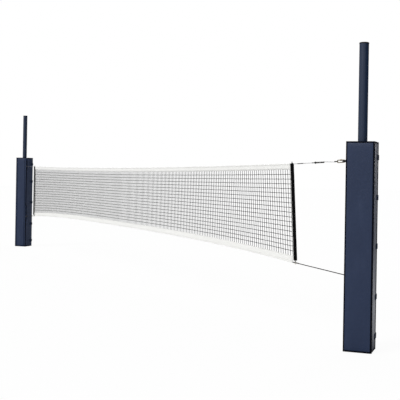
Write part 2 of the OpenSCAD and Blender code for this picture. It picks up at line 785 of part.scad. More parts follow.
color(DARK_STEEL)  // turnbuckle_lock_nut
    on_upper_line(buckle_end + lock_nut_gap) difference() {
        rotate([0, 90, 0]) cylinder(d = lock_nut_w / cos(30), h = lock_nut_t, $fn = 6);
        translate([-1, 0, 0]) along_x(lock_nut_t + 2, stud_d / 2 + shaft_gap);
    }
color(DARK_STEEL)  // turnbuckle_far_stud
    on_upper_line(buckle_end - stud_in) stud(far_stud_end - buckle_end + stud_in, 1);
color(STEEL) sweep(upper_route, cable_d / 2);  // top_cable
color(BLACK) on_upper_line(cable_sleeve_start) difference() {  // cable_sleeve
    along_x(cable_sleeve_l, cable_d / 2 + 1.6);
    translate([-1, 0, 0]) along_x(cable_sleeve_l + 2, cable_d / 2 + shaft_gap);
}
color(STEEL)  // far_cable_jaw
    on_line(far_upper_pin, far_cable_end) jaw(cable_shank_l, cable_d / 2);
color(BLACK) mesh();  // net_mesh
color(WHITE) top_tape_shape();  // top_tape
color(WHITE) bottom_tape_shape();  // bottom_tape
color(WHITE) near_side_strip();  // near_side_tape
color(WHITE) far_side_strip();  // far_side_tape
color(BLACK) difference() {  // near_dowel
    near_dowel_frame() dowel_shape(near_dowel_l);
    cable_hole(near_cable_end, near_upper_pin);
}
color(BLACK) difference() {  // far_dowel
    far_dowel_frame() dowel_shape(far_dowel_l);
    cable_hole(far_cable_end, far_upper_pin);
}
color(BLACK) difference() {  // near_dowel_sleeve
    near_dowel_frame() dowel_sleeve_shape(near_dowel_l);
    cable_hole(near_cable_end, near_upper_pin);
}
color(BLACK) difference() {  // far_dowel_sleeve
    far_dowel_frame() dowel_sleeve_shape(far_dowel_l);
    cable_hole(far_cable_end, far_upper_pin);
}
color(DARK_STEEL) near_dowel_frame() dowel_eyes(near_dowel_l);  // near_dowel_eyes
color(DARK_STEEL) far_dowel_frame() dowel_eyes(far_dowel_l);  // far_dowel_eyes
color(BRASS)  // near_corner_ring
    translate([near_ring[0], 0, near_ring[1]]) wire_ring(ring_r, ring_wire_r);
color(BRASS)  // far_corner_ring
    translate([far_ring[0], 0, far_ring[1]]) wire_ring(ring_r, ring_wire_r);
color(OLIVE)  // near_lower_cord
    lower_cord(near_lower_pin, near_ring, jaw_end_x + near_shank_l);
color(OLIVE)  // far_lower_cord
    lower_cord(far_lower_pin, far_ring, jaw_end_x + far_shank_l);
color(DARK_STEEL)  // near_cord_fittings
    cord_fittings(near_lower_pin, near_ring, near_shank_l);
color(STEEL)  // far_cord_fittings
    cord_fittings(far_lower_pin, far_ring, far_shank_l);
color(OLIVE) sweep(hem_route, cord_d / 2);  // hem_cord
color(DARK_STEEL) {  // hem_cord_eyes
    translate([near_ring[0] - ring_r, 0, near_ring[1]]) mirror([1, 0, 0])
        eye_end(ring_wire_r, cord_d / 2 + 1.5, cord_d / 2, hem_ferrule_l, hem_crimp);
    translate([far_ring[0] + ring_r, 0, far_ring[1]])
        eye_end(ring_wire_r, cord_d / 2 + 1.5, cord_d / 2, hem_ferrule_l, hem_crimp);
}
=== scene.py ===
import json
from math import asin, atan2, ceil, copysign, cos, pi, radians, sin, sqrt, tau

import bmesh
import bpy
from bpy.props import FloatProperty, FloatVectorProperty, IntProperty, PointerProperty
from mathutils import Matrix, Vector, noise


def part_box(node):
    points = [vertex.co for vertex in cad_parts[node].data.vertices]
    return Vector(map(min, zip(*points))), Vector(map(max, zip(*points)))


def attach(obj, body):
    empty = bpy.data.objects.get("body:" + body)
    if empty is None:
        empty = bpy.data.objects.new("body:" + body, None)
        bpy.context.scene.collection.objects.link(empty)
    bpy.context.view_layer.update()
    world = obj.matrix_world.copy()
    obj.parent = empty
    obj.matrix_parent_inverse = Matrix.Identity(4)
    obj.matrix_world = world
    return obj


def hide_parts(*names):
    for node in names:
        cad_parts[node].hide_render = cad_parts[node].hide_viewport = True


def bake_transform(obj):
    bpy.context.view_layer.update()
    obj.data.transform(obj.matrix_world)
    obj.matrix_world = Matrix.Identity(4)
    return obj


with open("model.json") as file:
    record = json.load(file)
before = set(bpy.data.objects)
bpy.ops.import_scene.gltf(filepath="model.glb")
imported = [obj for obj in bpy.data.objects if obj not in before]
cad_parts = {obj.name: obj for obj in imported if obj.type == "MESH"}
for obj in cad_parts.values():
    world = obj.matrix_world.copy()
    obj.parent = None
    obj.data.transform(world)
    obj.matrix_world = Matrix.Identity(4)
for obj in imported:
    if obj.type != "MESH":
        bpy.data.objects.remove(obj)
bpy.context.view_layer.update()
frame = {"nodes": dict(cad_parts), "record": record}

bl_info = {
    "name": "Volleyball net dressing",
    "version": (1, 0, 0),
    "blender": (4, 5, 0),
    "location": "View3D > Sidebar > Net",
    "description": "Dresses a volleyball net, its pads and its rigging around the packed model",
    "category": "Add Mesh",
}

SIDES = ("near", "far")
WHITE = (1.0, 1.0, 1.0, 1.0)

# Places that come from the frame. A pad's half width follows from how far its turned and
# rounded corners reach.
POST_X = (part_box("near_post")[0].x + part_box("near_post")[1].x) / 2
FAR_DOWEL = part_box("far_dowel")
PAD_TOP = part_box("near_pad_cover")[1].z
PAD_TURNS = {"near": radians(42), "far": radians(48)}
PAD_BEND = 0.009
PAD_SPREAD = sin(PAD_TURNS["near"]) + cos(PAD_TURNS["near"])
PAD_HALF = (PAD_BEND * (PAD_SPREAD - 1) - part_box("near_pad_cover")[0].y) / PAD_SPREAD

# Counts, and lengths in metres, that aren't offered in the sidebar.
RING_SIDES = 18  # round a cord, which both three and six strands divide
CURVE_STEPS = 60  # of a cord inside a tape
TAPE_STEPS = 120  # along a folded tape
TOP_FOLD, BOTTOM_FOLD = 0.0042, 0.0052  # radii of the tapes' round hems
KNOT_SLACK, KNOT_SEED = 0.0022, 1  # without a seed, each run has other knots
CLOTH_STEPS, ARC_STEPS = 56, 28  # up a pocket and round it
POCKET_LOW, POCKET_HIGH = 0.0027, 0.0064  # half a pocket's gap at the mesh and at the top hem
POCKET_END = 0.001
WIDENING_LOW, WIDENING_TALL = 0.030, 0.014  # where it widens, under the dowel's top
POCKET_CLOTH, POCKET_EDGE = 0.0013, 0.0005
SEAM_REACH = 0.022  # from a panel's edge to its full height
FACE_TALL, FACE_WIDE = 0.045, 0.022  # of a panel's mesh
BINDING_DEPTH = 0.0014  # of the binding's middle inside a pad's outer faces
BINDING_END, BINDING_CLOTH = 0.004, 0.0008
HEM_END, FOOT_HEM, TOP_HEM = 0.0005, 0.016, 0.014
STRIP_FOOT, STRIP_TOP = 0.018, 0.016  # from the floor, and under the pad's top
STRIP_STEP, STRIP_BEND = 0.002, 0.004  # across a hinge strip, and the half of it that bends
TAB_BEND = 0.004
TAB_GAP = 0.0003
ROUNDING = 0.0006  # of the tabs and their patches


# ---- sizes and colours ----

def length(name, description, default):
    return FloatProperty(name=name, description=description, default=default,
                         min=0.0, max=20.0, unit="LENGTH", precision=4)


def number(name, description, default, most):
    return IntProperty(name=name, description=description, default=default, min=4, max=most)


def colour(name, description, default):
    return FloatVectorProperty(name=name, description=description, default=default,
                               size=3, min=0.0, max=1.0, subtype="COLOR")


class NetSizes(bpy.types.PropertyGroup):
    top_middle: length("Top middle", "Height of the middle of the top edge", 1.612)
    top_rise: length("Top rise", "Rise of the top edge towards its ends", 0.034)
    bottom_middle: length("Bottom middle", "Height of the middle of the bottom edge", 0.738)
    bottom_drop: length("Bottom drop", "Drop of the bottom edge towards its ends", 0.080)
    top_tape: length("Top tape", "Height of the top tape", 0.062)
    bottom_tape: length("Bottom tape", "Height of the bottom tape", 0.070)
    side_tape: length("Side tape", "Width of a side tape", 0.025)
    near_dowel: length("Near dowel", "Distance of the near dowel's top from the middle", 4.400)
    near_lean: length("Near lean", "How far the near dowel's foot leans out", 0.087)
    sleeve: length("Sleeve", "Radius of a dowel in its sleeve", 0.016)
    pocket: length("Pocket", "Thickness of the cloth pocket round a dowel's sleeve", 0.0015)
    flap: length("Flap", "Width of a pocket's flaps over the net", 0.008)
    columns: number("Columns", "Columns of meshes", 212, 260)
    rows: number("Rows", "Rows of meshes", 18, 22)
    twine: length("Twine", "Diameter of the twine", 0.0053)
    webbing: length("Webbing", "Thickness of one layer of webbing", 0.0011)


class PadSizes(bpy.types.PropertyGroup):
    panel: length("Panel", "Thickness of a pad panel", 0.038)
    tuck: length("Tuck", "How far a panel's edges are drawn in", 0.0025)
    bend: length("Bend", "Radius of a panel's rounded edges", PAD_BEND)
    lift: length("Lift", "Gap between the closing panel and the floor", 0.003)
    slot_half: length("Slot half", "Half the width of an opening for the rigging", 0.012)
    notch: length("Notch", "Height of the bottom of the open notch", 1.575)
    slot: length("Slot", "Height of the bottom of the lower opening", 0.540)
    slot_tall: length("Slot height", "Height of the lower opening", 0.305)
    binding: length("Binding", "Width of the edge binding", 0.013)
    tab_reach: length("Tab reach", "Reach of a tab round the corner", 0.088)
    tab_sewn: length("Tab sewn end", "Length of a tab's sewn end", 0.095)
    tab_thick: length("Tab thickness", "Thickness of a tab", 0.0025)
    loop_thick: length("Loop thickness", "Thickness of a loop patch", 0.0015)


class CordSizes(bpy.types.PropertyGroup):
    cable: length("Cable", "Diameter of the steel cable", 0.005)
    cord: length("Cord", "Diameter of the lower cord over its strands", 0.009)
    cable_lay: length("Cable lay", "Length of one turn of the cable's strands", 0.040)
    cord_lay: length("Cord lay", "Length of one turn of the cord's strands", 0.026)


class Colours(bpy.types.PropertyGroup):
    vinyl: colour("Vinyl", "Pad covers", (0.0125, 0.0235, 0.0590))
    binding: colour("Binding", "Edge binding of the pads", (0.003, 0.004, 0.009))
    tab: colour("Tab", "Hook-and-loop tabs", (0.010, 0.017, 0.038))
    coat: colour("Coat", "Powder coat of the posts", (0.0050, 0.0160, 0.0440))
    black: colour("Black", "Moulded black pieces", (0.0030, 0.0030, 0.0034))
    webbing: colour("Webbing", "Tapes of the net", (0.80, 0.80, 0.78))
    twine: colour("Twine", "Twine of the net", (0.006, 0.006, 0.007))
    cord: colour("Cord", "Lower cords", (0.012, 0.010, 0.006))
    steel: colour("Steel", "Bright zinc and cable", (0.56, 0.55, 0.56))
    dark_steel: colour("Dark steel", "Turnbuckle and ferrules", (0.070, 0.070, 0.065))
    brass: colour("Brass", "Quick link and corner rings", (0.31, 0.23, 0.09))
    aluminium: colour("Aluminium", "Collars", (0.60, 0.61, 0.63))


GROUPS = {"net_sizes": NetSizes, "pad_sizes": PadSizes, "cord_sizes": CordSizes,
          "net_colours": Colours}


# ---- shader helpers ----

def arithmetic(operation, swapped=False):
    """A method of Value that adds a Math node, with the value itself last if swapped."""
    def method(self, *others):
        return self.math(operation, *((*others, self) if swapped else (self, *others)))
    return method


class Value:
    """A number in a shader. Sums and products of it add Math nodes."""

    def __init__(self, finish, socket):
        self.finish = finish
        self.socket = socket

    def math(self, operation, *values):
        made = self.finish.node("Math", dict(enumerate(values)), {"operation": operation})
        return Value(self.finish, made.outputs[0])

    __add__, __radd__ = arithmetic("ADD"), arithmetic("ADD", swapped=True)
    __sub__, __rsub__ = arithmetic("SUBTRACT"), arithmetic("SUBTRACT", swapped=True)
    __mul__, __truediv__ = arithmetic("MULTIPLY"), arithmetic("DIVIDE")
    sine, fraction = arithmetic("SINE"), arithmetic("FRACT")
    size, below = arithmetic("ABSOLUTE"), arithmetic("LESS_THAN")

    def step(self, low, high):
        """0 below low and 1 above high, smooth between them."""
        values = {"Value": self, "From Min": low, "From Max": high}
        made = self.finish.node("MapRange", values, {"interpolation_type": "SMOOTHSTEP"})
        return Value(self.finish, made.outputs[0])


class Finish:
    """The node tree of a material or the world, under construction."""

    def __init__(self, owner):
        owner.use_nodes = True
        self.owner = owner
        self.tree = owner.node_tree
        self.tree.nodes.clear()

    def node(self, kind, values=None, settings=None):
        """Adds a node; its values are numbers, colours or other nodes' outputs."""
        made = self.tree.nodes.new("ShaderNode" + kind)
        for name, setting in (settings or {}).items():
            setattr(made, name, setting)
        for name, value in (values or {}).items():
            if isinstance(value, Value):
                value = value.socket
            if isinstance(value, bpy.types.NodeSocket):
                self.tree.links.new(value, made.inputs[name])
            else:
                made.inputs[name].default_value = value
        return made

    def place(self, scale=(1.0, 1.0, 1.0)):
        found = self.node("TexCoord").outputs["Object"]
        return self.node("Mapping", {"Vector": found, "Scale": scale}).outputs[0]

    def axes(self, coordinates="Object"):
        found = self.node("TexCoord").outputs[coordinates]
        parts = self.node("SeparateXYZ", {0: found}).outputs
        return [Value(self, part) for part in parts]

    def rays(self):
        """Whether a ray comes straight from the camera, and whether it is mirrored."""
        found = self.node("LightPath").outputs
        seen = Value(self, found["Is Camera Ray"]) + Value(self, found["Is Transmission Ray"])
        return seen, Value(self, found["Is Glossy Ray"])

    def grain(self, scale, detail=2.0, place=None):
        values = {"Vector": place or self.place(), "Scale": scale, "Detail": detail}
        return Value(self, self.node("TexNoise", values).outputs[0])

    def cells(self, scale, feature="F1"):
        values = {"Vector": self.place(), "Scale": scale}
        made = self.node("TexVoronoi", values, {"feature": feature})
        return Value(self, made.outputs["Distance"])

    def mix(self, first, second, share):
        settings = {"data_type": "RGBA", "clamp_factor": True}
        values = {0: share, 6: rgba(first), 7: rgba(second)}
        return self.node("Mix", values, settings).outputs[2]

    def tones(self, base, first, second, share):
        """A colour between two shades of base."""
        return self.mix(shade(base, first), shade(base, second), share)

    def relief(self, height, depth, below=None):
        values = {"Height": height, "Distance": depth, "Strength": 1.0}
        if below is not None:
            values["Normal"] = below
        return self.node("Bump", values).outputs[0]

    def surface(self, base, roughness, normal, specular=0.5, sheen=0.0, metallic=0.0):
        """Ends a material's tree, and returns the material."""
        values = {"Base Color": rgba(base), "Roughness": roughness, "Normal": normal,
                  "Specular IOR Level": specular, "Sheen Weight": sheen, "Metallic": metallic}
        shader = self.node("BsdfPrincipled", values)
        self.node("OutputMaterial", {0: shader.outputs[0]})
        return self.owner


def rgba(value):
    if isinstance(value, bpy.types.NodeSocket):
        return value
    return (*value[:3], 1.0)


def shade(base, factor):
    return tuple(min(1.0, part * factor) for part in base[:3])


def new_finish(name):
    return Finish(bpy.data.materials.new(name))


# ---- finishes ----

def vinyl(name, base):
    """Coated vinyl: leather grain, slow changes of colour and duller rubbed patches."""
    f = new_finish(name)
    leather = f.cells(620.0, "DISTANCE_TO_EDGE").step(0.0, 0.35)
    slow = f.grain(3.0, 3.0)
    rub = f.grain(9.0, 5.0, f.place((1.0, 1.0, 0.25))).step(0.52, 0.78)
    tone = f.mix(f.tones(base, 0.86, 1.16, slow), shade(base, 1.5), rub * 0.35)
    normal = f.relief(leather, 0.00012, f.relief(f.grain(26.0, 3.0), 0.0012))
    return f.surface(tone, 0.33 + rub * 0.16 + slow * 0.06, normal, specular=0.36)


def woven(name, base, pitch=0.0016):
    """Woven tape or cloth, in the object's own coordinates."""
    f = new_finish(name)
    x, y, z = f.axes()
    turn = tau / pitch
    threads = ((x + y) * turn).sine() * (z * turn).sine()
    wear = f.grain(60.0, 4.0)
    tone = f.tones(base, 0.72, 1.35, threads * 0.35 + wear * 0.65)
    return f.surface(tone, 0.90 - wear * 0.1, f.relief(threads + wear, 0.00025), specular=0.05)


def hooked(name, base):
    """Hook-and-loop tape: a mat of small loops."""
    f = new_finish(name)
    mat = f.cells(900.0)
    clumps = f.grain(180.0, 4.0)
    tone = f.tones(base, 0.6, 1.8, mat * 0.6 + clumps * 0.4)
    return f.surface(tone, 0.92, f.relief(mat + clumps, 0.0007), specular=0.2, sheen=0.1)


def powder_coat(name, base):
    """Semi-gloss powder coat with orange peel, and fine upright scratches."""
    f = new_finish(name)
    peel = f.grain(420.0)
    slow = f.grain(2.5, 3.0)
    scratch = f.grain(900.0, 2.0, f.place((1.0, 1.0, 0.012))).step(0.66, 0.74)
    tone = f.mix(f.tones(base, 0.85, 1.2, slow), shade(base, 2.2), scratch * 0.35)
    return f.surface(tone, 0.30 + slow * 0.08 + scratch * 0.2, f.relief(peel, 0.00008))


def moulded(name, base, gloss, specular=0.25):
    """Moulded plastic with a spark-eroded grain and handling marks."""
    f = new_finish(name)
    erosion = f.cells(1400.0)
    marks = f.grain(35.0, 5.0).step(0.45, 0.7)
    tone = f.tones(base, 0.85, 1.7, marks * 0.5)
    return f.surface(tone, gloss + marks * 0.15, f.relief(erosion, 0.00006), specular=specular)


def metal(name, base, gloss, patina=None):
    """Metal with fine streaks along the net, and a darker patina in patches."""
    f = new_finish(name)
    lines = f.grain(60.0, 3.0, f.place((1.0, 30.0, 30.0)))
    patches = f.grain(85.0, 5.0).step(0.48, 0.72)
    tone = f.tones(base, 0.82, 1.12, lines)
    tone = f.mix(tone, patina or shade(base, 0.45), patches * 0.55)
    normal = f.relief(lines, 0.00004, f.relief(f.grain(400.0), 0.00003))
    return f.surface(tone, gloss + patches * 0.25 + lines * 0.08, normal, metallic=1.0)


def webbing(name, base, seams):
    """White webbing with rows of stitches; its map runs along the tape and down it."""
    f = new_finish(name)
    along, down, _ = f.axes("UV")
    rib = (along * (tau / 0.0022)).sine() * (down * (tau / 0.0030)).sine()
    rows = [(down - seam).size().below(0.0007) * (along / 0.0052).fraction().below(0.68)
            for seam in seams]
    stitch = sum(rows[1:], rows[0])
    soil = f.grain(5.0, 6.0).step(0.45, 0.85)
    tone = f.tones(base, 1.0, 0.90, rib * 0.5 + 0.5)
    tone = f.mix(tone, (0.55, 0.53, 0.49), soil * 0.12)
    tone = f.mix(tone, shade(base, 0.62), stitch * 0.8)
    ripple = f.grain(34.0, 2.0, f.place((0.35, 1.0, 1.0)))
    normal = f.relief(rib, 0.00016, f.relief(ripple - stitch * 0.35, 0.0011))
    return f.surface(tone, 0.72 + soil * 0.1, normal, sheen=0.1)


def twine(name, base):
    """Twisted twine: slanting plies with loose fibres."""
    f = new_finish(name)
    x, y, z = f.axes()
    plies = ((x + z + y * 0.5) * (tau / 0.0021)).sine()
    fibres = f.grain(700.0, 4.0)
    tone = f.tones(base, 0.6, 2.2, fibres * 0.6 + plies * 0.2)
    return f.surface(tone, 0.88, f.relief(plies + fibres, 0.0003), specular=0.15)


def laid(name, base, wire=False):
    """A laid cord or wire rope; its strands are in the mesh, its threads or wires are here."""
    f = new_finish(name)
    x, y, z = f.axes()
    threads = ((x * 0.7 + z * 3.0 + y * 3.0) * (tau / 0.0016)).sine()
    wear = f.grain(160.0, 4.0)
    tone = f.tones(base, 0.55, 1.4, threads * 0.25 + wear * 0.75)
    gloss, specular, metallic = (0.42, 0.5, 1.0) if wire else (0.75, 0.2, 0.0)
    return f.surface(tone, gloss - wear * 0.12, f.relief(threads, 0.00012), specular,
                     metallic=metallic)


# ---- mesh helpers ----

def mesh_from(bm, name):
    """Turns a bmesh into a mesh whose elements are in the same order each run."""
    for parts, place in ((bm.verts, lambda vert: vert.co[:]),
                         (bm.edges, lambda edge: (edge.verts[0].co + edge.verts[1].co)[:]),
                         (bm.faces, lambda face: face.calc_center_median()[:])):
        ranks = {part: k for k, part in enumerate(sorted(parts, key=place))}
        parts.sort(key=ranks.get)
    mesh = bpy.data.meshes.new(name)
    bm.to_mesh(mesh)
    bm.free()
    return mesh


def object_with(mesh, name, material, smooth=True):
    mesh.polygons.foreach_set("use_smooth", [smooth] * len(mesh.polygons))
    mesh.materials.append(material)
    made = bpy.data.objects.new(name, mesh)
    bpy.context.scene.collection.objects.link(made)
    return made


def object_from(bm, name, material, smooth=True):
    """Turns a bmesh into an object at the origin, with its faces pointing outwards."""
    bmesh.ops.remove_doubles(bm, verts=bm.verts, dist=1e-6)
    bmesh.ops.recalc_face_normals(bm, faces=bm.faces)
    return object_with(mesh_from(bm, name), name, material, smooth)


def finish_piece(made, body, nodes):
    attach(made, body)
    if nodes:
        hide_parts(*nodes)
    return made


def put_modifiers(made):
    """Applies a piece's modifiers, so that its mesh is what shows."""
    graph = bpy.context.evaluated_depsgraph_get()
    graph.update()
    mesh = bpy.data.meshes.new_from_object(made.evaluated_get(graph))
    made.modifiers.clear()
    made.data = mesh


def thicken(made, thickness, rounding=0.0):
    """Gives cloth its thickness, half to each side, and rounds its edges."""
    wall = made.modifiers.new("thickness", "SOLIDIFY")
    wall.thickness = thickness
    wall.offset = 0.0
    if rounding:
        edge = made.modifiers.new("edge", "BEVEL")
        edge.width = rounding
        edge.segments = 2
    put_modifiers(made)
    return made


def points_of(node):
    return [vertex.co for vertex in frame["nodes"][node].data.vertices]


def add_box(bm, low, high):
    """Adds a box between two corners."""
    low, high = Vector(low), Vector(high)
    middle = Matrix.Translation((low + high) / 2) @ Matrix.Diagonal((*(high - low), 1.0))
    bmesh.ops.create_cube(bm, size=1.0, matrix=middle)


def bevel_all(bm, radius, segments):
    bmesh.ops.bevel(bm, geom=bm.edges[:], offset=radius, segments=segments, profile=0.5,
                    affect="EDGES", material=-1)


def slice_along(bm, axis, low, high, pitch):
    """Cuts a mesh across one axis at even steps."""
    count = max(1, round((high - low) / pitch))
    way = [float(k == axis) for k in range(3)]
    for k in range(1, count):
        point = [(low + (high - low) * k / count) * part for part in way]
        geometry = bm.verts[:] + bm.edges[:] + bm.faces[:]
        bmesh.ops.bisect_plane(bm, geom=geometry, plane_co=point, plane_no=way)


def chain(bm, points):
    """Adds points with a row of edges between them, and returns the edges."""
    verts = [bm.verts.new(point) for point in points]
    return [bm.edges.new(pair) for pair in zip(verts, verts[1:])]


def extrude(bm, edges):
    """Extrudes edges in place and returns the new vertices and edges."""
    made = bmesh.ops.extrude_edge_only(bm, edges=edges)["geom"]
    verts = {part for part in made if isinstance(part, bmesh.types.BMVert)}
    return list(verts), [part for part in made
                         if isinstance(part, bmesh.types.BMEdge) and set(part.verts) <= verts]


def draw_out(bm, edges, move, steps=1):
    """Extrudes edges by the same move again and again, and returns the last edges."""
    for _ in range(steps):
        verts, edges = extrude(bm, edges)
        bmesh.ops.translate(bm, verts=verts, vec=move)
    return edges


def stranded(points, lay, radius, strands, depth):
    """A bmesh of twisted strands: a lobed ring that turns on its way along points in XZ."""
    bm = bmesh.new()
    ring = bmesh.ops.create_circle(bm, cap_ends=False, segments=RING_SIDES, radius=radius)["verts"]
    for vert in ring:
        bearing = atan2(vert.co.y, vert.co.x)
        vert.co *= 1.0 - depth * (0.5 - 0.5 * cos(strands * bearing))
    edges = first = bm.edges[:]
    last = len(points) - 1
    across = Vector((0.0, 1.0, 0.0))
    before = Matrix.Identity(4)
    travelled = 0.0
    for k, point in enumerate(points):
        if k:
            travelled += (point - points[k - 1]).length
            ring, edges = extrude(bm, edges)
        way = (points[min(k + 1, last)] - points[max(k - 1, 0)]).normalized()
        axes = Matrix((across, way.cross(across), way)).transposed().to_4x4()
        turn = Matrix.Rotation(tau * travelled / lay, 4, "Z")
        here = Matrix.Translation(point) @ axes @ turn
        bmesh.ops.transform(bm, matrix=here @ before.inverted(), verts=ring)
        before = here
    bmesh.ops.holes_fill(bm, edges=first + edges, sides=RING_SIDES)
    return bm


def run_between(a, b, pitch):
    """Even points from a to b, both included, no more than pitch apart."""
    count = max(1, ceil((b - a).length / pitch))
    return [a.lerp(b, k / count) for k in range(count + 1)]


def arc(x, y, radius_x, radius_y, angles):
    """Points round (x, y) at angles in degrees; a radius below 0 mirrors them."""
    return [(x + radius_x * cos(radians(angle)), y + radius_y * sin(radians(angle)))
            for angle in angles]


def in_plane(x, z):
    return Vector((x, 0.0, z))


def turned(degrees, axis):
    return Matrix.Rotation(radians(degrees), 4, axis)


def mix_of(a, b, share):
    return a + (b - a) * share


def eased(share):
    """Smooths a share, and holds it between 0 and 1."""
    share = min(1.0, max(0.0, share))
    return share * share * (3 - 2 * share)


# ---- the net's outline ----

class Outline:
    """The curves that the tapes and the mesh follow, from the frame and the net's sizes."""

    def __init__(self, sizes):
        self.sizes = sizes
        self.dowel_top = FAR_DOWEL[1].z
        self.dowel_foot = FAR_DOWEL[0].z
        self.far_dowel = (FAR_DOWEL[0].x + FAR_DOWEL[1].x) / 2
        self.middle = (sizes.near_dowel + self.far_dowel) / 2
        self.half = (sizes.near_dowel - self.far_dowel) / 2
        self.far_sleeve = self.far_dowel + sizes.sleeve
        self.far_inner = self.far_sleeve + sizes.side_tape
        self.near_hem = sizes.near_dowel + sizes.near_lean - sizes.sleeve - sizes.side_tape
        self.hem_middle = (self.near_hem + self.far_inner) / 2
        self.hem_half = (self.near_hem - self.far_inner) / 2
        self.slope = sizes.near_lean / (self.dowel_top - self.dowel_foot)

    def top(self, x):
        rise = self.sizes.top_rise * ((x - self.middle) / self.half) ** 2
        return self.sizes.top_middle + rise

    def bottom(self, x):
        drop = self.sizes.bottom_drop * (abs(x - self.hem_middle) / self.hem_half) ** 3
        return self.sizes.bottom_middle - drop

    def near_sleeve(self, z):
        return self.sizes.near_dowel + (self.dowel_top - z) * self.slope - self.sizes.sleeve

    def inward(self, side, z, reach):
        """The x of a point at a height, and reach from a dowel's sleeve towards the net."""
        return self.near_sleeve(z) - reach if side == "near" else self.far_sleeve + reach

    def top_point(self, share, low):
        """(x, z) of a point on the top tape, low under its upper edge."""
        x = mix_of(self.far_sleeve, self.near_sleeve(self.dowel_top - low), share)
        return x, self.top(x) - low

    def bottom_point(self, share, high):
        """(x, z) of a point on the bottom tape, high over its lower edge."""
        x = mix_of(self.far_inner, self.near_hem - high * self.slope, share)
        return x, self.bottom(x) + high

    def mesh_point(self, u, v):
        """(x, z) of a point on the mesh, u along it and v up it."""
        low = self.bottom(self.near_hem) + self.sizes.bottom_tape
        high = self.top(self.sizes.near_dowel) - self.sizes.top_tape
        near = self.inward("near", mix_of(low, high, v), self.sizes.side_tape)
        x = mix_of(self.far_inner, near, u)
        low, high = self.bottom(x) + self.sizes.bottom_tape, self.top(x) - self.sizes.top_tape
        return x, mix_of(low, high, v)


# ---- pads ----

def pad_place(side):
    """From a pad's own frame, with +X to the closing panel, to its post; the far is mirrored."""
    place = Matrix.Translation((POST_X, 0.0, 0.0)) @ Matrix.Rotation(PAD_TURNS[side], 4, "Z")
    return Matrix.Diagonal((-1.0, 1.0, 1.0, 1.0)) @ place if side == "far" else place


def pad_object(bm, name, side, material, smooth=True):
    """Moves a mesh from a pad's own frame to its post and makes an object of it."""
    bmesh.ops.transform(bm, matrix=pad_place(side), verts=bm.verts)
    return object_from(bm, name, material, smooth)


def cut_openings(made, side, sizes):
    """Cuts the notch and the slot at the corner that faces the net."""
    bm = bmesh.new()
    reach = PAD_HALF * sqrt(2) + 0.02
    for low, high in ((sizes.notch, PAD_TOP + 0.05), (sizes.slot, sizes.slot + sizes.slot_tall)):
        add_box(bm, (PAD_HALF - sizes.panel, -sizes.slot_half, low), (reach, sizes.slot_half, high))
    corner = Matrix.Rotation(pi - PAD_TURNS[side], 4, "Z")
    bmesh.ops.transform(bm, matrix=corner, verts=bm.verts)
    cutter = pad_object(bm, "cutter", side, made.data.materials[0], smooth=False)
    modifier = made.modifiers.new("openings", "BOOLEAN")
    modifier.object = cutter
    modifier.operation = "DIFFERENCE"
    modifier.solver = "EXACT"
    put_modifiers(made)
    bpy.data.objects.remove(cutter)


def panel(name, low, high, side, sizes, material, free_end=False):
    """A padded panel: rounded edges drawn in by the seams, crowned faces with slow ripples."""
    bm = bmesh.new()
    inset = Vector((sizes.tuck,) * 3)
    low, high = Vector(low), Vector(high)
    add_box(bm, low + inset, high - inset)
    if free_end:  # its inner edge is cut back, so that it clears the fixed panel as it opens
        reach = high.y - low.y
        slant = reach - sqrt(reach ** 2 - sizes.panel ** 2)
        for vert in bm.verts:
            if vert.co.y > 0 and vert.co.x < (low.x + high.x) / 2:
                vert.co.y -= slant
    bevel_all(bm, sizes.bend, 3)
    slice_along(bm, 2, low.z, high.z, FACE_TALL)
    for axis in (0, 1):
        if high[axis] - low[axis] > 3 * sizes.panel:
            slice_along(bm, axis, low[axis], high[axis], FACE_WIDE)
    bmesh.ops.recalc_face_normals(bm, faces=bm.faces)
    bm.normal_update()
    moves = []
    for vert in bm.verts:
        drawn = 1.0
        for axis in range(3):
            if abs(vert.normal[axis]) < 0.7:
                edge = min(vert.co[axis] - low[axis], high[axis] - vert.co[axis])
                drawn *= min(1.0, max(0.0, edge - sizes.bend) / SEAM_REACH)
        ripple = noise.noise(vert.co * 9.0) * 0.5 + noise.noise(vert.co * 27.0) * 0.2
        moves.append(vert.normal * eased(drawn) * sizes.tuck * (0.86 + 0.3 * ripple))
    for vert, move in zip(bm.verts, moves):
        vert.co += move
    return pad_object(bm, name, side, material)


def band(bm, points, low, high):
    """A thin upright band that follows points in plan."""
    draw_out(bm, chain(bm, [(x, y, low) for x, y in points]), (0.0, 0.0, high - low))


def corner_path(x, y, along_x, along_y, bend):
    """Points round one upright corner at (x, y), from its leg along X to its leg along Y."""
    sx, sy = copysign(1.0, x), copysign(1.0, y)
    turn = arc(x - sx * bend, y - sy * bend, sx * bend, sy * bend, range(90, -1, -15))
    return [(x - sx * along_x, y), *turn, (x, y - sy * along_y)]


# ---- operators ----

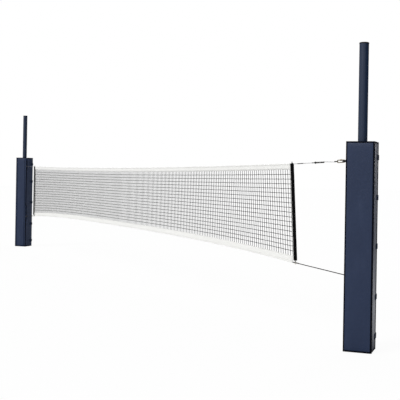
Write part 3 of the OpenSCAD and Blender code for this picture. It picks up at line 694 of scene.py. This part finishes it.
class NET_OT_stage(bpy.types.Operator):
    """Make the camera, the lamps, the pale surroundings and the floor"""
    bl_idname = "net.stage"
    bl_label = "Stage"

    def execute(self, context):
        self.make_camera(context)
        self.make_lamps(context)
        self.make_world(context)
        self.make_floor()
        context.scene.view_settings.view_transform = "Standard"
        return {"FINISHED"}

    def make_camera(self, context):
        picture = 400
        focal_pixels = 816.19
        axis_row = 176.57
        sensor = 36.0
        yaw, roll = 62.58, 0.96
        place = Matrix.Translation((11.20773, -4.56426, 1.49963))
        data = bpy.data.cameras.new("camera")
        data.sensor_width = sensor
        data.lens = focal_pixels / picture * sensor
        data.shift_y = (axis_row - picture / 2) / picture
        data.clip_end = 200.0
        camera = bpy.data.objects.new("camera", data)
        turn = turned(yaw, "Z") @ turned(90, "X")
        camera.matrix_world = place @ turn @ turned(roll, "Z")
        context.scene.collection.objects.link(camera)
        context.scene.camera = camera

    def make_lamps(self, context):
        for name, azimuth, elevation, strength, spread in (
                ("key", 276.0, 38.0, 1.90, 24.0), ("fill", 322.0, 18.0, 0.40, 60.0),
                ("back", 141.0, 34.0, 1.30, 50.0)):
            data = bpy.data.lights.new(name, "SUN")
            data.energy = strength
            data.angle = radians(spread)
            lamp = bpy.data.objects.new(name, data)
            lamp.matrix_world = turned(azimuth + 90, "Z") @ turned(90 - elevation, "X")
            context.scene.collection.objects.link(lamp)

    def make_world(self, context):
        """White to the camera and even on the object, and a room with pale walls in mirrors."""
        f = Finish(bpy.data.worlds.new("studio"))
        context.scene.world = f.owner
        seen, mirrored = f.rays()
        x, y, z = f.axes("Generated")
        behind = (y * 0.62 - x * 0.78).step(0.89, 0.955)
        beside = (y * 0.85 + x * 0.53).step(0.25, 0.75)
        above = z.step(0.1, 0.9)
        left = (x * -0.26 - y * 0.97).step(0.64, 0.80)
        walls = (1.0 - beside) * (0.14 + above * 0.22 + left * 0.60)
        room = behind + (1.0 - behind) * walls
        ambient = 0.46
        strength = ambient + seen * (1.0 - ambient) + mirrored * (room - ambient)
        back = f.node("Background", {"Color": WHITE, "Strength": strength})
        f.node("OutputWorld", {0: back.outputs[0]})

    def make_floor(self):
        """Nearly white to the camera; in mirrors, darker, with one patch that glows white there:
        painted reflections.
        """
        bm = bmesh.new()
        bmesh.ops.create_grid(bm, x_segments=1, y_segments=1, size=90.0)
        f = new_finish("pale_floor")
        seen, mirrored = f.rays()
        x, y, _ = f.axes()
        # The floor's colour drops from 0.80 to 0.32 in reflections only: a painted darker
        # reflection on the object.
        pale = f.node("BsdfDiffuse", {"Color": 0.80 - mirrored * 0.48})
        white = f.node("Emission", {"Color": WHITE, "Strength": 1.0})
        # A patch of floor that glows white in reflections only: a painted reflection, not a lamp.
        painted_reflection_patch = y.step(0.0, 1.5) * x.step(1.5, 4.5) * (1.0 - x.step(6.5, 8.5))
        values = {0: seen * 0.94 + mirrored * painted_reflection_patch, 1: pale.outputs[0], 2: white.outputs[0]}
        both = f.node("MixShader", values)
        f.node("OutputMaterial", {0: both.outputs[0]})
        object_from(bm, "floor", f.owner, smooth=False)


class NET_OT_cords(bpy.types.Operator):
    """Make the steel cables, the lower cords and the cord in the bottom tape"""
    bl_idname = "net.cords"
    bl_label = "Cables and cords"

    def execute(self, context):
        sizes = context.scene.cord_sizes
        tones = context.scene.net_colours
        outline = Outline(context.scene.net_sizes)
        wire = laid("wire_rope", tones.steel, wire=True)
        rope = laid("laid_cord", tones.cord)
        self.top_cable(sizes, outline, wire)
        self.straight("lead_cable", sizes.cable, sizes.cable_lay, wire, "cable_steel", 6)
        for side in SIDES:
            node = f"{side}_lower_cord"
            self.straight(node, sizes.cord, sizes.cord_lay, rope, "cord_fibre", 3)
        self.hem_cord(sizes, outline, rope)
        return {"FINISHED"}

    def straight(self, node, diameter, lay, material, slot, strands):
        """A taut cord between the two ends of its CAD node, which lies in the XZ plane."""
        low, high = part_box(node)
        radius = diameter / 2
        trim = radius * (high.z - low.z - diameter) / (high.x - low.x)
        heights = [low.z + radius, high.z - radius]
        if not self.rises(node):
            heights.reverse()
        ends = [in_plane(low.x + trim / 2, heights[0]), in_plane(high.x - trim / 2, heights[1])]
        if node != "far_lower_cord":  # a cord starts at its own post's end
            ends.reverse()
        points = run_between(*ends, lay / 12)
        bm = stranded(points, lay, radius, strands, 0.24)
        made = finish_piece(object_from(bm, node + "_laid", material), "net_rig", [node])

    def rises(self, node):
        """Whether a node's higher end is the one at +X."""
        ends = sorted((point.x, point.z) for point in points_of(node))
        return ends[-1][1] > ends[0][1]

    def top_cable(self, sizes, outline, material):
        """Straight from the turnbuckle to the near dowel, along the tape, and straight again."""
        low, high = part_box("top_cable")
        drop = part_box("top_tape")[1].z - self.height_at("top_cable", outline.far_sleeve)
        start, dowel, end = (in_plane(x, self.height_at("top_cable", x))
                             for x in (high.x, outline.sizes.near_dowel, low.x))
        inside = self.inside(outline.top_point, drop)
        last = inside[-1].z + outline.top(outline.far_dowel) - outline.top(outline.far_sleeve)
        far_dowel = in_plane(outline.far_dowel, last)
        pitch = sizes.cable_lay / 10
        points = run_between(start, dowel, pitch) + inside + run_between(far_dowel, end, pitch)
        bm = stranded(points, sizes.cable_lay, sizes.cable / 2, 6, 0.22)
        made = finish_piece(object_from(bm, "top_cable_laid", material), "net_rig",
                            ["top_cable"])

    def inside(self, place, offset):
        """Points in a tape from its near end to its far end, at an offset from its edge."""
        shares = (k / CURVE_STEPS for k in range(CURVE_STEPS, -1, -1))
        return [in_plane(*place(share, offset)) for share in shares]

    def height_at(self, node, x):
        """The height of a node's centreline near x."""
        points = points_of(node)
        nearest = min(abs(point.x - x) for point in points)
        heights = [point.z for point in points if abs(point.x - x) < nearest + 0.004]
        return (min(heights) + max(heights)) / 2

    def hem_cord(self, sizes, outline, material):
        """The tape hides this cord's strands, so that they hardly turn."""
        low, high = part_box("hem_cord")
        level = self.height_at("hem_cord", high.x)
        rise = level - outline.bottom(outline.near_hem)
        inside = self.inside(outline.bottom_point, rise)
        points = [in_plane(high.x, level), *inside, in_plane(low.x, level)]
        bm = stranded(points, sizes.cord_lay * 40, sizes.cord / 2, 3, 0.2)
        finish_piece(object_from(bm, "hem_cord_laid", material), "net_rig", ["hem_cord"])


class NET_OT_mesh(bpy.types.Operator):
    """Make the knotted mesh of the net"""
    bl_idname = "net.mesh"
    bl_label = "Mesh"

    def execute(self, context):
        sizes = context.scene.net_sizes
        outline = Outline(sizes)
        columns, rows = sizes.columns, sizes.rows
        noise.seed_set(KNOT_SEED)
        knots = [[self.knot(outline, i, j, columns, rows) for j in range(rows + 1)]
                 for i in range(columns + 1)]
        bm = bmesh.new()
        upright = self.strand(rows, sizes.twine / 2)
        for column in knots:
            self.add_strand(bm, upright, column, upright=True)
        level = self.strand(columns, sizes.twine / 2)
        for j in range(1, rows):
            self.add_strand(bm, level, [column[j] for column in knots], upright=False)
        knot = self.knot_mesh(sizes.twine)
        for column in knots:
            for place in column[1:-1]:
                for vert in self.add_mesh(bm, knot):
                    vert.co += place
        for mesh in (upright, level, knot):
            bpy.data.meshes.remove(mesh)
        material = twine("net_twine", context.scene.net_colours.twine)
        made = object_with(mesh_from(bm, "knotted_mesh"), "knotted_mesh", material)
        finish_piece(made, "net_rig", ["net_mesh"])
        return {"FINISHED"}

    def knot(self, outline, i, j, columns, rows):
        """Where knot (i, j) lies: on the even mesh, but for a small slack inside it."""
        x, z = outline.mesh_point(i / columns, j / rows)
        inner = 0 < j < rows and 0 < i < columns
        slack = noise.noise_vector(Vector((i * 0.61, j * 0.83, 4.0)))
        slack *= KNOT_SLACK if inner else 0.0
        return Vector((x + slack.x, slack.y * 0.4, z + slack.z))

    def strand(self, count, radius):
        """A straight strand along Z with a ring at each whole number from 0 to count."""
        bm = bmesh.new()
        bmesh.ops.create_circle(bm, cap_ends=False, segments=5, radius=radius)
        first = bm.edges[:]
        last = draw_out(bm, first, (0.0, 0.0, 1.0), count)
        bmesh.ops.holes_fill(bm, edges=first + last, sides=5)
        bmesh.ops.recalc_face_normals(bm, faces=bm.faces)
        return mesh_from(bm, "strand")

    def knot_mesh(self, diameter):
        bm = bmesh.new()
        bmesh.ops.create_icosphere(bm, subdivisions=1, radius=diameter * 1.05)
        bmesh.ops.scale(bm, verts=bm.verts, vec=(1.15, 0.9, 1.15))
        return mesh_from(bm, "knot")

    def add_mesh(self, bm, mesh):
        """Adds a mesh and returns its vertices."""
        first = len(bm.verts)
        bm.from_mesh(mesh)
        bm.verts.ensure_lookup_table()
        return bm.verts[first:]

    def add_strand(self, bm, strand, places, upright):
        """Adds a strand whose rings go to the places of its knots and lie across or upright."""
        for vert in self.add_mesh(bm, strand):
            x, y, ring = vert.co
            offset = Vector((x, y, 0.0)) if upright else Vector((0.0, x, y))
            vert.co = places[round(ring)] + offset


class NET_OT_tapes(bpy.types.Operator):
    """Make the folded tapes round the net"""
    bl_idname = "net.tapes"
    bl_label = "Tapes"

    def execute(self, context):
        sizes = context.scene.net_sizes
        outline = Outline(sizes)
        base = context.scene.net_colours.webbing
        finish = webbing("top_webbing", base, (0.0135, 0.0165, 0.057))
        top = self.folded("top_tape", sizes.top_tape, TOP_FOLD, outline.top_point, sizes, finish)
        finish = webbing("bottom_webbing", base, (0.0150, 0.0180, 0.065))
        bottom = self.folded("bottom_tape", sizes.bottom_tape, BOTTOM_FOLD, outline.bottom_point,
                             sizes, finish)
        finish = webbing("side_webbing", base, (0.004, 0.021))
        for side in SIDES:
            self.side_tape(side, sizes, outline, finish)
        return {"FINISHED"}

    def folded(self, node, tall, fold, place, sizes, material):
        """Webbing folded over a cord: a round hem and two layers sewn together below it."""
        apart = sizes.webbing * 0.6
        hem = fold + sizes.webbing / 2 + 0.0005
        meet = hem + fold * 1.9
        profile = [(-apart, tall), (-apart, tall * 0.6), (-apart, meet),
                   *arc(0.0, hem, -fold, -fold, range(-60, 241, 25)),
                   (apart, meet), (apart, tall * 0.6), (apart, tall)]
        bm = bmesh.new()
        edges = chain(bm, [(0.0, y, low) for y, low in profile])
        draw_out(bm, edges, (1.0, 0.0, 0.0), TAPE_STEPS)
        layer = bm.loops.layers.uv.new("tape")
        for vert in bm.verts:
            low = vert.co.z
            x, z = place(vert.co.x / TAPE_STEPS, low)
            for loop in vert.link_loops:
                loop[layer].uv = (x, low)
            vert.co = (x, vert.co.y, z)
        made = thicken(object_from(bm, node + "_folded", material), sizes.webbing)
        return finish_piece(made, "net_rig", [node])

    def side_tape(self, side, sizes, outline, material):
        """A flat strip beside a dowel's sleeve."""
        low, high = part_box(f"{side}_side_tape")
        bm = bmesh.new()
        bmesh.ops.create_grid(bm, x_segments=3, y_segments=24, size=0.5)
        layer = bm.loops.layers.uv.new("tape")
        for vert in bm.verts:
            across = (vert.co.x + 0.5) * sizes.side_tape
            z = mix_of(low.z, high.z, vert.co.y + 0.5)
            for loop in vert.link_loops:
                loop[layer].uv = (z, across)
            reach = sizes.side_tape - across if side == "near" else across
            vert.co = (outline.inward(side, z, reach), 0.0, z)
        made = object_from(bm, f"{side}_side_tape_sewn", material)
        thicken(made, 2 * sizes.webbing, sizes.webbing * 0.4)
        finish_piece(made, "net_rig", [f"{side}_side_tape"])


class NET_OT_pockets(bpy.types.Operator):
    """Make the black cloth pockets that hold the dowels"""
    bl_idname = "net.pockets"
    bl_label = "Dowel pockets"

    def execute(self, context):
        sizes = context.scene.net_sizes
        outline = Outline(sizes)
        cloth = woven("pocket_cloth", context.scene.net_colours.black, pitch=0.0012)
        for side in SIDES:
            low, high = (end.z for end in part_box(f"{side}_dowel_sleeve"))
            made = self.pocket(side, low + POCKET_END, high - POCKET_END, sizes, outline, cloth)
            finish_piece(made, "net_rig", [])
        return {"FINISHED"}

    def pocket(self, side, low, high, sizes, outline, material):
        """Cloth folded round a dowel's sleeve, with two flaps sewn over the ends of the tapes."""
        radius = sizes.sleeve + sizes.pocket
        bm = bmesh.new()
        edges = chain(bm, [(k, 0.0, 0.0) for k in range(ARC_STEPS + 3)])
        draw_out(bm, edges, (0.0, 0.0, 1.0), CLOTH_STEPS)
        for vert in bm.verts:
            k, z = round(vert.co.x), mix_of(low, high, vert.co.z / CLOTH_STEPS)
            over_hem = eased((z - outline.dowel_top + WIDENING_LOW) / WIDENING_TALL)
            half = mix_of(POCKET_LOW, POCKET_HIGH, over_hem)
            start = asin(half / radius)
            angle = start + (tau - 2 * start) * (k - 1) / ARC_STEPS
            bearing = Vector((cos(angle), sin(angle), z * 14.0))
            ripple = noise.noise(bearing) * 0.0006
            if 1 <= k <= ARC_STEPS + 1:
                across = (radius + ripple) * cos(angle)
                depth = (radius + ripple) * sin(angle)
            else:
                across = radius * cos(start) + sizes.flap + ripple
                depth = copysign(half, 1 - k)
            vert.co = (outline.inward(side, z, across - sizes.sleeve), depth, z)
        made = object_from(bm, f"{side}_dowel_pocket", material)
        return thicken(made, POCKET_CLOTH, POCKET_EDGE)


class NET_OT_pads(bpy.types.Operator):
    """Make the padded panels, their binding and their hinges"""
    bl_idname = "net.pads"
    bl_label = "Pads"

    def execute(self, context):
        sizes = context.scene.pad_sizes
        tones = context.scene.net_colours
        cover = vinyl("navy_vinyl", tones.vinyl)
        edge = woven("edge_binding", tones.binding)
        for side in SIDES:
            self.fixed_panels(side, sizes, cover)
            self.closing_panel(side, sizes, cover)
            self.bindings(side, sizes, edge)
            self.closing_binding(side, sizes, edge)
            self.hinge_strip(side, sizes, cover)
        return {"FINISHED"}

    def fixed_panels(self, side, sizes, material):
        """The front panel stands for the cover and the foam; the other two have the openings."""
        half, inner = PAD_HALF, PAD_HALF - sizes.panel
        boxes = {
            "front": ((-half, -half, 0.0), (half, -inner, PAD_TOP)),
            "back": ((-half, inner, 0.0), (half, half, PAD_TOP)),
            "net": ((-half, -inner, 0.0), (-inner, inner, PAD_TOP)),
        }
        for name, (low, high) in boxes.items():
            made = panel(f"{side}_{name}_panel", low, high, side, sizes, material)
            nodes = [f"{side}_pad_cover", f"{side}_pad_foam"]
            if name != "front":
                cut_openings(made, side, sizes)
                nodes = []
            finish_piece(made, "posts", nodes)

    def closing_panel(self, side, sizes, material):
        inner = PAD_HALF - sizes.panel
        low, high = (inner, -inner, sizes.lift), (PAD_HALF, inner, PAD_TOP)
        name = f"{side}_closing_panel"
        made = panel(name + "_padded", low, high, side, sizes, material, free_end=True)
        finish_piece(made, name, [f"{side}_panel_cover", f"{side}_panel_foam"])

    def bindings(self, side, sizes, material):
        """Binding at the fixed corners, and hems at both ends, with gaps at the openings."""
        half, leg = PAD_HALF - BINDING_DEPTH, sizes.binding
        first, second, third, fourth = (
            corner_path(x * half, y * half, leg, sizes.panel if x > 0 else leg, sizes.bend)
            for x, y in ((1, -1), (-1, -1), (-1, 1), (1, 1)))
        bm = bmesh.new()
        for corner in (first, second, fourth):
            band(bm, corner, BINDING_END, PAD_TOP - BINDING_END)
        band(bm, third, BINDING_END, sizes.slot)
        band(bm, third, sizes.slot + sizes.slot_tall, sizes.notch)
        gap = half - 2 * sizes.slot_half
        band(bm, first[::-1] + second + third[::-1] + fourth, HEM_END, FOOT_HEM)
        for path in (first[::-1] + second + [(-half, gap)], [(-gap, half)] + fourth):
            band(bm, path, PAD_TOP - TOP_HEM, PAD_TOP - HEM_END)
        self.sewn_on(bm, f"{side}_pad_binding", side, material, "posts")

    def closing_binding(self, side, sizes, material):
        """Hems at both ends of the closing panel, and binding along its free edge."""
        face, edge = PAD_HALF - BINDING_DEPTH, PAD_HALF - sizes.panel - 0.001
        bm = bmesh.new()
        for low, high in ((sizes.lift + HEM_END, FOOT_HEM), (PAD_TOP - TOP_HEM, PAD_TOP - HEM_END)):
            band(bm, [(face, -edge), (face, edge)], low, high)
        points = [(face, edge), (face, PAD_HALF - sizes.panel - sizes.binding)]
        band(bm, points, sizes.lift + BINDING_END, PAD_TOP - BINDING_END)
        self.sewn_on(bm, f"{side}_closing_binding", side, material, f"{side}_closing_panel")

    def hinge_strip(self, side, sizes, material):
        """The strip of vinyl on which the closing panel turns."""
        face, line = PAD_HALF - 0.0004, sizes.panel - PAD_HALF
        bm = bmesh.new()
        points = [(face, line + STRIP_STEP * k) for k in range(-8, 9)]
        band(bm, points, STRIP_FOOT, PAD_TOP - STRIP_TOP)
        made = self.sewn_on(bm, f"{side}_hinge_strip", side, material)
        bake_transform(made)

    def sewn_on(self, bm, name, side, material, body=None):
        """Makes thin cloth on a pad of bands in its own frame, fixed to a body if one is named."""
        made = thicken(pad_object(bm, name, side, material), BINDING_CLOTH)
        if body:
            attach(made, body)
        return made


class NET_OT_tabs(bpy.types.Operator):
    """Make the hook-and-loop tabs and the patches under them"""
    bl_idname = "net.tabs"
    bl_label = "Tabs"

    def execute(self, context):
        sizes = context.scene.pad_sizes
        tones = context.scene.net_colours
        strap = woven("tab_webbing", tones.tab)
        mat = hooked("loop_tape", tones.tab)
        for side in SIDES:
            self.straps(side, sizes, strap)
            self.patches(side, sizes, mat)
        return {"FINISHED"}

    def rows_of(self, node):
        """The heights (low, high) of a node's separate pieces, from its levels."""
        levels = sorted({round(point.z, 4) for point in points_of(node)})
        return zip(levels[0::2], levels[1::2])

    def straps(self, side, sizes, material):
        """Tabs sewn on the closing panel, which go round the corner and onto their patches."""
        half, thick = PAD_HALF, sizes.tab_thick
        face = half + thick / 2 + TAB_GAP
        back = half + sizes.loop_thick + thick / 2 + TAB_GAP
        turn_x, turn_y = face - TAB_BEND, back - TAB_BEND
        reach = sizes.tab_reach - TAB_BEND
        points = [(face, half - sizes.tab_sewn), (face, half - sizes.tab_sewn / 2),
                  *arc(turn_x, turn_y, TAB_BEND, TAB_BEND, range(0, 91, 15)),
                  *((turn_x - step * reach / 4, back) for step in (1, 2, 3, 4))]
        bm = bmesh.new()
        for low, high in self.rows_of(f"{side}_tabs"):
            band(bm, points, low, high)
        made = thicken(pad_object(bm, f"{side}_tab_straps", side, material), thick, ROUNDING)
        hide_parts(f"{side}_tabs")
        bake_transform(made)

    def patches(self, side, sizes, material):
        start = PAD_HALF - sizes.tab_reach - 0.012
        bm = bmesh.new()
        for low, high in self.rows_of(f"{side}_loop_patches"):
            add_box(bm, (start, PAD_HALF - 0.002, low),
                    (start + sizes.tab_reach, PAD_HALF + sizes.loop_thick, high))
        bevel_all(bm, ROUNDING, 2)
        made = pad_object(bm, f"{side}_loop_strips", side, material)
        finish_piece(made, "posts", [f"{side}_loop_patches"])


class NET_OT_finishes(bpy.types.Operator):
    """Give every rigid piece its finish"""
    bl_idname = "net.finishes"
    bl_label = "Finishes"

    def execute(self, context):
        tones = context.scene.net_colours
        by_slot = {
            "post_paint": powder_coat("navy_powder_coat", tones.coat),
            "cap_plastic": moulded("black_moulding", tones.black, 0.55),
            "knob_plastic": moulded("knob_moulding", tones.black, 0.35),
            "collar_metal": metal("cast_aluminium", tones.aluminium, 0.40),
            "zinc_steel": metal("bright_zinc", tones.steel, 0.28),
            "black_steel": powder_coat("black_enamel", tones.black),
            "brass": metal("aged_brass", tones.brass, 0.34, (0.09, 0.07, 0.035)),
            "dark_steel": metal("dark_oxide", tones.dark_steel, 0.42),
            "sleeve_plastic": moulded("shrink_sleeve", (0.05, 0.05, 0.05), 0.6),
            "dowel_rod": moulded("dowel_rod", tones.black, 0.5),
            "dowel_sleeve": moulded("dowel_sleeve", tones.black, 0.7, 0.06),
        }
        for part in frame["record"]["subparts"]:
            if part["material_slot"] in by_slot:  # soft pieces replace the nodes of other slots
                materials = frame["nodes"][part["node"]].data.materials
                materials.clear()
                materials.append(by_slot[part["material_slot"]])
        return {"FINISHED"}


class NET_PT_sidebar(bpy.types.Panel):
    """Lists the operators and the sizes in the sidebar"""
    bl_label = "Volleyball net"
    bl_space_type = "VIEW_3D"
    bl_region_type = "UI"
    bl_category = "Net"

    def draw(self, context):
        for operator in OPERATORS:
            self.layout.operator(operator.bl_idname)
        for name, group in GROUPS.items():
            box = self.layout.box()
            for field in group.__annotations__:
                box.prop(getattr(context.scene, name), field)


OPERATORS = (NET_OT_stage, NET_OT_cords, NET_OT_mesh, NET_OT_tapes, NET_OT_pockets, NET_OT_pads,
             NET_OT_tabs, NET_OT_finishes)
CLASSES = (*GROUPS.values(), *OPERATORS, NET_PT_sidebar)


def register():
    for item in CLASSES:
        bpy.utils.register_class(item)
    for name, group in GROUPS.items():
        setattr(bpy.types.Scene, name, PointerProperty(type=group))


def unregister():
    for name in GROUPS:
        delattr(bpy.types.Scene, name)
    for item in reversed(CLASSES):
        bpy.utils.unregister_class(item)


def main():
    register()
    bpy.ops.net.stage()
    bpy.ops.net.cords()
    bpy.ops.net.mesh()
    bpy.ops.net.tapes()
    bpy.ops.net.pockets()
    bpy.ops.net.pads()
    bpy.ops.net.tabs()
    bpy.ops.net.finishes()


if __name__ == "__main__":
    main()
